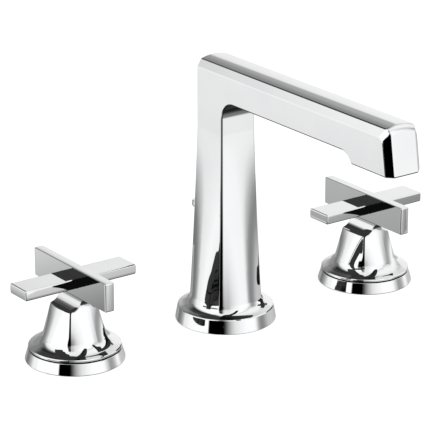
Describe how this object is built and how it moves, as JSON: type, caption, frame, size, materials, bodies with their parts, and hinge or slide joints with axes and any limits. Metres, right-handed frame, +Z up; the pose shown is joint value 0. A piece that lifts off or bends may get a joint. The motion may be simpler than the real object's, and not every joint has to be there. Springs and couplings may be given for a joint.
{
  "type": "bathroom faucet",
  "caption": "Three-hole basin faucet in polished chrome: square-arm spout, cross handles on bell-shaped skirts with ceramic valves inside, and a pop-up waste lift rod.",
  "frame": {"origin": "centre of the spout's foot at deck level, on the axis of the middle deck hole", "axes": "+X towards the cold handle, +Y away from the basin, the arm reaches out along -Y, +Z up"},
  "size_m": [0.2738, 0.1898, 0.1524],
  "materials": {
    "polished_chrome": "polished",
    "brass": "machined",
    "copper": "drawn tube",
    "black_rubber": "matte",
    "white_nylon": "moulded",
    "white_ceramic": "lapped",
    "steel": "plain"
  },
  "bodies": {
    "root": {"spout_body": "polished_chrome", "spout_gasket": "black_rubber", "inlet_shank": "brass", "waterway_tube": "copper", "aerator_housing": "polished_chrome", "aerator_insert": "white_nylon", "aerator_seal": "black_rubber", "hot_base_ring": "polished_chrome", "hot_base_gasket": "black_rubber", "hot_valve_body": "brass", "hot_seat_seal": "black_rubber", "hot_fixed_disc": "white_ceramic", "hot_cartridge": "brass", "hot_bonnet_nut": "brass", "hot_glide_ring": "white_nylon", "cold_base_ring": "polished_chrome", "cold_base_gasket": "black_rubber", "cold_valve_body": "brass", "cold_seat_seal": "black_rubber", "cold_fixed_disc": "white_ceramic", "cold_cartridge": "brass", "cold_bonnet_nut": "brass", "cold_glide_ring": "white_nylon"},
    "hot_handle": {"hot_bell": "polished_chrome", "hot_blade": "polished_chrome", "hot_flat_bar": "polished_chrome", "hot_set_screw": "steel", "hot_stem": "brass", "hot_stem_seal": "black_rubber", "hot_turning_disc": "white_ceramic"},
    "cold_handle": {"cold_bell": "polished_chrome", "cold_blade": "polished_chrome", "cold_flat_bar": "polished_chrome", "cold_set_screw": "steel", "cold_stem": "brass", "cold_stem_seal": "black_rubber", "cold_turning_disc": "white_ceramic"},
    "waste_rod": {"lift_rod": "polished_chrome", "lift_rod_knob": "polished_chrome"}
  },
  "joints": [
    {"name": "hot_turn", "type": "hinge", "parent": "root", "child": "hot_handle", "pos_m": [-0.1016, 0, 0], "axis": [0, 0, 1], "range_deg": [0, 90]},
    {"name": "cold_turn", "type": "hinge", "parent": "root", "child": "cold_handle", "pos_m": [0.1016, 0, 0], "axis": [0, 0, 1], "range_deg": [-90, 0]},
    {"name": "rod_lift", "type": "slide", "parent": "root", "child": "waste_rod", "axis": [0, 0, 1], "range_m": [-0.02, 0]}
  ]
}
